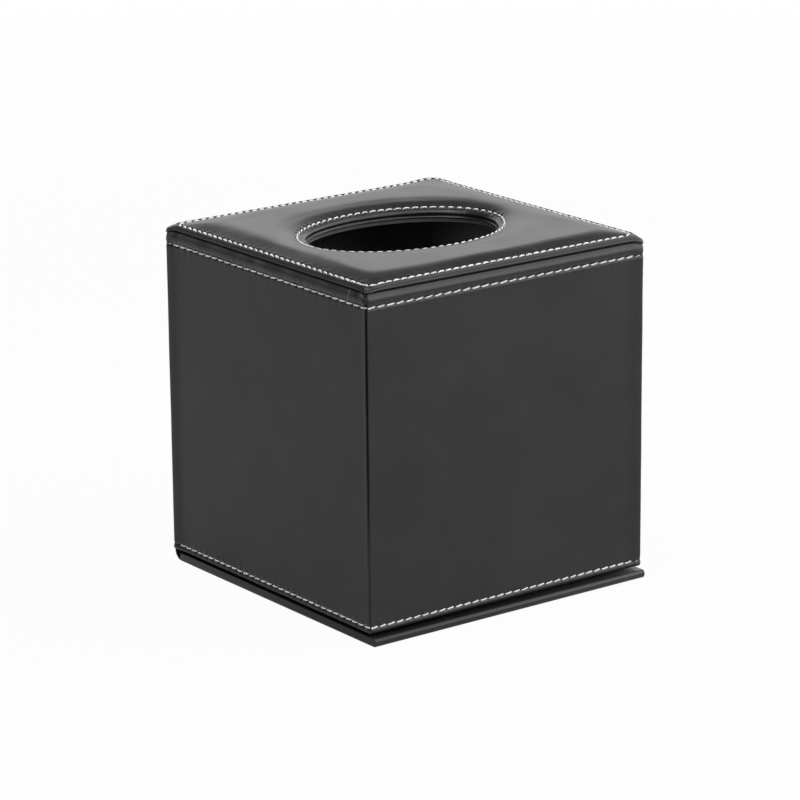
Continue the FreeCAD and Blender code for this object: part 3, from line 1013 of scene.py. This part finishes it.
def stripProfile(back, top):
    # (y, height) along the strip's outer and inner side
    c = hingeStrip
    thick, roll = c["leather"], c["roll"]
    turn = back - roll
    tail = np.linspace(turn - c["tail"], turn, 9)[:-1]
    rise = spread((roll, top - 5, 16), (top - 5, top - 0.4, 14))
    outer = [(y, 0) for y in tail]
    inner = [(y, thick) for y in tail]
    for a in np.radians(spread((270, 360, 16))):
        outer.append((turn + roll * math.cos(a), roll + roll * math.sin(a)))
        inner.append((turn + (roll - thick) * math.cos(a), roll + (roll - thick) * math.sin(a)))
    outer += [(back, z) for z in rise[1:]] + [(back - 0.12, top - 0.12), (back - 0.4, top)]
    inner += [(back - thick, z) for z in rise[1:]] + [(back - thick, top - 0.2), (back - thick, top)]
    return np.array(outer), np.array(inner)


def makeHingeStrip():
    c = hingeStrip
    wide, back, top = (float(v) for v in stripHigh)
    turn = back - c["roll"]
    middle = np.linspace(-0.985, 0.985, 230)[1:-1]
    columns = np.concatenate([spread((-1, -0.985, 5)), middle, spread((0.985, 1, 5))])

    def placed(profile, dressed):
        y, z = placedGrid(profile, len(columns))
        x = np.repeat((columns * wide)[None], len(profile), 0)
        if dressed:
            relief = sewnRelief(x + wide, z - (top - c["seam"]), 2 * wide / c["stitches"], 70)
            where = np.stack([x, z + y], -1)
            loose = soft(z, 1.5, 6) * (1 - soft(z, top - 8, top - 3))
            relief += loose * (c["bulge"] + c["waver"] * waves(71, where * [1, 0.4], 10, 40))
            folded = hump(z, 2.2, 2.2) * soft(y, turn, turn + 1)
            relief += c["crease"] * folded * waves(72, np.stack([x * 0.12, (z - y)], -1), 0.7, 1.8, 16)
            relief -= c["edgeDrop"] * (1 - soft(wide - np.abs(x), 0, c["edgeWide"]))
            relief = relief * np.where(z < c["tailLoose"], 0, 1)
            y = y + relief * np.maximum(soft(z, 1.5, 4), 0.3)
        return np.stack([x, y, z], -1)

    outer, inner = stripProfile(back, top)
    piece = shellOf("hingeStrip", placed(outer, True), placed(inner, False), 60)
    start, end = (0, back * mm, c["bendStart"] * mm), (0, turn * mm, 0)
    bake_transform(piece)
    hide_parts("hinge_leather")


makeHingeStrip()


# Base cover

baseCover = {"edge": 0.7 * mm, "steps": 3, "flat": math.radians(2), "sharp": 1.2, "same": 0.001 * mm}


def makeBaseCover():
    c = baseCover
    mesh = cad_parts["base_leather"].data.copy()
    mesh.name = "baseCover"
    bm = bmesh.new()
    bm.from_mesh(mesh)
    bmesh.ops.remove_doubles(bm, verts=bm.verts, dist=c["same"])
    bmesh.ops.dissolve_limit(bm, angle_limit=c["flat"], verts=bm.verts, edges=bm.edges)
    joined = [e for e in bm.edges if len(e.link_faces) == 2]
    sharp = [e for e in joined if e.is_convex and e.calc_face_angle() > c["sharp"]]
    bmesh.ops.bevel(
        bm,
        geom=sharp,
        offset=c["edge"],
        segments=c["steps"],
        affect="EDGES",
        profile=0.5,
        clamp_overlap=True,
    )
    bm.to_mesh(mesh)
    bm.free()
    piece = leatherPiece(mesh, 40)
    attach(piece, "base_flap")
    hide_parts("base_leather")


makeBaseCover()
print("base cover: edges rounded")


# Stitches

stitch = {
    "Thread": 0.78 * mm,
    "Gap": 0.85 * mm,
    "Slant": math.radians(7.5),
    "Rise": 0.12 * mm,
    "Dip": 0.36 * mm,
    "Turns": 1.5,
    "Wander": math.radians(2.2),
}
boldStitch = {"Thread": 0.92 * mm, "Gap": 0.3 * mm, "Rise": 0.18 * mm, "Slant": math.radians(21)}
fineStitch = {"Thread": 0.73 * mm, "Gap": 0.6 * mm, "Slant": math.radians(12)}
seams = {
    "seat": 0.06,  # the thread's middle stands that far behind the wall's plane
    "borderSeat": 0.02,  # and on the lid that far below the leather's seam level
    "mouthSeat": 0.04,
    "leftLean": 0.45,  # share of the slant on the left wall
    "frontLean": 0.6,  # and on the front and the left border
    "leftBorderLean": -0.65,
    "leanEdge": (40, 58),  # from the middle
    "backCut": 0.26,  # how much shorter the stitches are on the back border
    "backEdge": (52, 60),
    "rightCut": 0.3,  # and at the mouth's right end
    "rightEnd": (26, 40),
    "borderPoints": 576,
    "mouthPoints": 240,
}


def makeStitchTree():
    # Lays one short twisted length of thread on each step of a seam's line
    tree = bpy.data.node_groups.new("sewnSeam", "GeometryNodeTree")
    kinds = {"Seams": "Geometry", "Pitch": "Float", **dict.fromkeys(stitch, "Float")}
    kinds.update(Seed="Int", Finish="Material")
    for name, kind in kinds.items():
        tree.interface.new_socket(name, in_out="INPUT", socket_type=f"NodeSocket{kind}")
    tree.interface.new_socket("Thread", in_out="OUTPUT", socket_type="NodeSocketGeometry")
    graph = Graph(tree)
    given = graph.add("NodeGroupInput")

    def vector(x, y, z):
        return graph.add("ShaderNodeCombineXYZ", values={0: x, 1: y, 2: z})

    def attribute(name, kind="FLOAT"):
        return graph.add("GeometryNodeInputNamedAttribute", {"data_type": kind}, {"Name": name})["Attribute"]

    def chance(low, high, seed):
        values = {"Min": low, "Max": high, "Seed": seed}
        return graph.add("FunctionNodeRandomValue", {"data_type": "FLOAT"}, values)

    def away(share):
        # 0 in the middle of a stitch, 1 at both ends
        fromMiddle = share * 2 - 1
        return fromMiddle.math("ABSOLUTE", fromMiddle)

    def step(kind, values=None):
        return graph.add(f"GeometryNode{kind}", values=values)

    line = step("MeshToCurve", {"Mesh": given["Seams"]})
    steps = step("SplineLength")["Length"] / given["Pitch"]
    count = steps.math("ROUND", steps) + 1 - step("InputSplineCyclic")
    places = step("ResampleCurve", {"Curve": line, "Count": count})
    reach = (given["Pitch"] - given["Gap"]) * 0.5
    flat = step("CurvePrimitiveLine", {"Start": vector(-reach, 0, 0), "End": vector(reach, 0, 0)})
    flat = step("ResampleCurve", {"Curve": flat, "Count": 10})
    share = step("SplineParameter")["Factor"]
    # Both ends go down through the leather
    lift = given["Rise"] - (given["Rise"] + given["Dip"]) * away(share) ** 5
    arch = step("SetPosition", {"Geometry": flat, "Offset": vector(0, 0, lift)})
    twisted = step("SetCurveTilt", {"Curve": arch, "Tilt": share * given["Turns"] * (2 * math.pi)})
    ply = step("CurvePrimitiveCircle", {"Resolution": 8, "Radius": given["Thread"] * 0.5})
    flattened = step("Transform", {"Geometry": ply, "Scale": (1, 0.74, 1)})
    plump = (1 - away(share) ** 4) * 0.5 + 0.5
    shape = {"Curve": twisted, "Profile Curve": flattened, "Scale": plump, "Fill Caps": True}
    length = step("SetShadeSmooth", {"Geometry": step("CurveToMesh", shape)})
    # Each is stood on the leather, laid along the seam and then turned by its slant
    align = "FunctionNodeAlignRotationToVector"
    upright = graph.add(align, {"axis": "Z"}, {"Vector": attribute("outward", "FLOAT_VECTOR")})
    along = {"Rotation": upright, "Vector": step("InputTangent")}
    laid = graph.add(align, {"axis": "X", "pivot_axis": "Z"}, along)
    stray = chance(-given["Wander"], given["Wander"], given["Seed"])
    angle = given["Slant"] * attribute("leaning") + stray
    lean = graph.add("FunctionNodeAxisAngleToRotation", values={"Axis": (0, 0, 1), "Angle": angle})
    turns = {"Rotation": laid, "Rotate By": lean}
    slanted = graph.add("FunctionNodeRotateRotation", {"rotation_space": "LOCAL"}, turns)
    stretch = chance(0.95, 1.05, given["Seed"] + 7) - attribute("shortened")
    thick = chance(0.92, 1.08, given["Seed"] + 11)
    scale = vector(stretch, thick, thick)
    each = {"Points": places, "Instance": length, "Rotation": slanted, "Scale": scale}
    whole = step("RealizeInstances", {"Geometry": step("InstanceOnPoints", each)})
    finished = step("SetMaterial", {"Geometry": whole, "Material": given["Finish"]})
    graph.add("NodeGroupOutput", values={"Thread": finished})
    return tree


stitchTree = makeStitchTree()


def sew(name, lines, pitch, seed, changes=None):
    # lines holds (points, outward way, closed, shares of the slant, how much shorter the
    # stitches are) for each line, in mm
    points, ways, shares, cuts, edges = [], [], [], [], []
    for line, outward, closed, leaning, shorter in lines:
        first = len(points)
        points += [tuple(p) for p in line]
        ways += [tuple(outward)] * len(line)
        shares += [float(v) for v in leaning]
        cuts += [float(v) for v in shorter]
        edges += [(first + k, first + k + 1) for k in range(len(line) - 1)]
        if closed:
            edges.append((len(points) - 1, first))
    mesh = bpy.data.meshes.new(name)
    mesh.from_pydata((np.array(points) * mm).tolist(), edges, [])
    attribute = mesh.attributes.new("outward", "FLOAT_VECTOR", "POINT")
    attribute.data.foreach_set("vector", np.array(ways, float).ravel())
    for label, values in (("leaning", shares), ("shortened", cuts)):
        mesh.attributes.new(label, "FLOAT", "POINT").data.foreach_set("value", np.array(values, float))
    piece = newObject(name, mesh)
    modifier = piece.modifiers.new("sewing", "NODES")
    modifier.node_group = stitchTree
    sizes = {**stitch, "Pitch": pitch * mm, "Seed": seed, "Finish": finishes["thread"], **(changes or {})}
    for item in stitchTree.interface.items_tree:
        if item.in_out == "INPUT" and item.name in sizes:
            modifier[item.identifier] = sizes[item.name]
    plainMesh(piece)
    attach(piece, "box")


def sewWalls(name, quarters, z, stitches, seed, out=0.0):
    # One straight seam on each of these walls; out is how far it lies in front of the wall's face
    pitch = 2 * half / stitches
    end = half - pitch / 2
    u = np.linspace(-end, end, 40)
    line = np.stack([u, np.full_like(u, seams["seat"] - out - half), np.full_like(u, z)], -1)
    lines = []
    for quarter in quarters:
        leaning = np.full(len(u), seams["leftLean"] if wallNames[quarter] == "left" else 1)
        outward = turned(np.array([0.0, -1.0, 0.0]), quarter)
        lines.append((turned(line, quarter), outward, False, leaning, np.zeros(len(u))))
    sew(name, lines, pitch, seed)


def sewBorder():
    core, halfSide = borderSide()
    radius = lidCover["seamCorner"]
    pitch = 2 * halfSide / lidCover["borderStitches"]
    # It starts half a stitch on, so that the needle holes lie between the stitches
    count = seams["borderPoints"]
    place = pitch / 2 + np.arange(count) / count * 8 * halfSide
    side = (place // (2 * halfSide)).astype(int) % 4
    t = place % (2 * halfSide) - halfSide
    bend = np.maximum(np.abs(t) - core, 0) / radius
    out = core + radius * np.cos(bend)
    t = np.sign(t) * (np.minimum(np.abs(t), core) + radius * np.sin(bend))
    x = np.choose(side, [out, -t, -out, t])
    y = np.choose(side, [t, out, -t, -out])
    line = handSewn(np.column_stack([x, y, np.full(len(x), seamLevel - seams["borderSeat"])]))
    front, left = (soft(-place, *seams["leanEdge"]) for place in (y, x))
    leaning = seams["frontLean"] * front + seams["leftBorderLean"] * left
    shorter = seams["backCut"] * soft(y, *seams["backEdge"])
    sew("lidBorderStitches", [(line, (0, 0, 1), True, leaning, shorter)], pitch, 4, boldStitch)


def sewMouth():
    shares = np.arange(seams["mouthPoints"]) / (seams["mouthPoints"] / 4)
    total = ovalPoints(lidCover["mouthSeam"], shares)[1]
    stitches = round(total / lidCover["mouthPitch"])
    # Half a stitch on, so that the needle holes lie between the stitches
    xy = ovalPoints(lidCover["mouthSeam"], shares + 2 / stitches)[0]
    line = handSewn(np.column_stack([xy, np.full(len(xy), seamLevel - seams["mouthSeat"])]))
    shorter = seams["rightCut"] * soft(xy[:, 0], *seams["rightEnd"])
    seam = (line, (0, 0, 1), True, np.ones(len(xy)), shorter)
    sew("mouthStitches", [seam], total / stitches, 5, fineStitch)


sewWalls("wallTopStitches", range(4), topSeam, wallCover["topStitches"], 1)
sewWalls("wallFootStitches", (0, 1, 3), footSeam, wallCover["footStitches"], 2)
stripSeam, stripFace = float(stripHigh[2]) - hingeStrip["seam"], float(stripHigh[1]) - half
sewWalls("hingeStripStitches", (2,), stripSeam, hingeStrip["stitches"], 3, out=stripFace)
sewBorder()
sewMouth()
print("stitches: sewn")


# Stage, light and camera

stage = {
    "floorSize": 4,  # from its middle to its side, m
    "floor": (0.55, 0.55, 0.55),
    "near": 0.96,  # how much of the floor by the object is plain white to the eye
    "seenInGloss": 0.31,
    "leftGloss": 0.6,  # share of that on the left
    "leftEdge": (-0.2, 0),
    "fade": (0.45, 1.5),  # from here to there the floor turns plain white
    "skyGlow": 1.4,  # the sky's low part, in gloss
    "skyRim": 0.5,  # share of that at the horizon
    "rimHeight": (0.04, 0.22),
    "dimHeight": (0.34, 0.50),  # the sky dims between these heights
    "skyAbove": 0.17,
    "skyDiffuse": 0.35,
    "skyLeft": 0.15,  # and is that much darker on the left
    "skyLeftEdge": (-0.75, -0.1),
}


def fillFloor(graph, place):
    away = graph.add("ShaderNodeVectorMath", {"operation": "LENGTH"}, {0: place})["Value"]
    rays = graph.add("ShaderNodeLightPath")
    seen = rays["Is Camera Ray"]
    mirrored = rays["Is Glossy Ray"].atLeast(rays["Is Transmission Ray"])
    sideways = graph.add("ShaderNodeSeparateXYZ", values={0: place})["X"].smooth(*stage["leftEdge"])
    inGloss = stage["seenInGloss"] * (stage["leftGloss"] + (1 - stage["leftGloss"]) * sideways)
    nearSeen = seen * stage["near"] + mirrored * inGloss
    share = nearSeen + (seen.atLeast(mirrored) - nearSeen) * away.smooth(*stage["fade"])
    plain = graph.add("ShaderNodeBsdfDiffuse", values={"Color": (*stage["floor"], 1)})
    white = graph.add("ShaderNodeEmission", values={"Color": (1, 1, 1, 1), "Strength": 1})
    return graph.add("ShaderNodeMixShader", values={0: share, 1: plain, 2: white})


def makeFloor():
    mesh = bpy.data.meshes.new("studioFloor")
    size = stage["floorSize"]
    corners = [(-size, -size, 0), (size, -size, 0), (size, size, 0), (-size, size, 0)]
    mesh.from_pydata(corners, [], [(0, 1, 2, 3)])
    mesh.materials.append(newMaterial("paleFloor", fillFloor))
    newObject("studioFloor", mesh)


def makeWorld():
    world = bpy.data.worlds.new("studio")
    bpy.context.scene.world = world
    world.use_nodes = True
    graph = Graph(world.node_tree)
    up = graph.add("ShaderNodeTexCoord")["Generated"]
    way = graph.add("ShaderNodeSeparateXYZ", values={0: up})
    rays = graph.add("ShaderNodeLightPath")

    def share(least, axis, edges):
        # least below the first edge, and whole above the second
        return least + (1 - least) * way[axis].smooth(*edges)

    dimming = (stage["skyGlow"] - stage["skyAbove"]) * way["Z"].smooth(*stage["dimHeight"])
    above = (stage["skyGlow"] - dimming) * share(stage["skyLeft"], "X", stage["skyLeftEdge"])
    above = above * share(stage["skyRim"], "Z", stage["rimHeight"])
    lit = above * (1 - (1 - stage["skyDiffuse"]) * rays["Is Diffuse Ray"])
    strength = lit + (1 - lit) * rays["Is Camera Ray"]
    background = graph.add("ShaderNodeBackground", values={"Color": (1, 1, 1, 1), "Strength": strength})
    graph.add("ShaderNodeOutputWorld", values={"Surface": background})


lamps = {
    "frontRight": {"at": (0.95, -0.75, 1.0), "size": 2.6, "power": 33},
    "overhead": {"at": (-0.25, -0.1, 1.5), "size": 1.0, "power": 13},
    "farLeft": {"at": (-1.25, -0.55, 0.45), "size": 0.6, "power": 4},
}
lampAim = Vector((0, 0, 0.07))


def makeLamps():
    for name, lamp in lamps.items():
        data = bpy.data.lights.new(name, "AREA")
        data.shape = "DISK"
        data.size, data.energy = lamp["size"], lamp["power"]
        light = newObject(name, data)
        light.location = lamp["at"]
        light.rotation_euler = (lampAim - light.location).to_track_quat("-Z", "Y").to_euler()


shot = {
    "azimuth": -36.783,
    "elevation": 16.057,
    "roll": -0.5015,
    "distance": 1452 * mm,
    "centre": 68.2 * mm,  # height of the point that the camera circles
    "aside": 1.547 * mm,  # the aim lies that far to the left of it
    "below": 0.139 * mm,
    "lens": 168.957,
    "sensor": 36,
    "clip": (0.05, 20),
}


def makeCamera():
    azimuth, elevation, roll = (math.radians(shot[key]) for key in ("azimuth", "elevation", "roll"))
    flat = math.cos(elevation)
    back = Vector((math.sin(azimuth) * flat, -math.cos(azimuth) * flat, math.sin(elevation)))
    right = back.cross(Vector((0, 0, -1))).normalized()
    up = back.cross(right)
    right, up = (
        right * math.cos(roll) + up * math.sin(roll),
        up * math.cos(roll) - right * math.sin(roll),
    )
    centre = Vector((0, 0, shot["centre"]))
    place = centre + back * shot["distance"]
    aim = centre - right * shot["aside"] - up * shot["below"]
    forward = (aim - place).normalized()
    right = forward.cross(up).normalized()
    up = right.cross(forward)
    turn = Matrix((right, up, -forward)).transposed()
    data = bpy.data.cameras.new("productShot")
    data.sensor_width, data.lens = shot["sensor"], shot["lens"]
    data.clip_start, data.clip_end = shot["clip"]
    camera = newObject("productShot", data)
    camera.matrix_world = Matrix.Translation(place) @ turn.to_4x4()
    bpy.context.scene.camera = camera


makeFloor()
makeWorld()
makeLamps()
makeCamera()
bpy.context.scene.view_settings.view_transform = "Standard"
print("stage, light and camera: set")
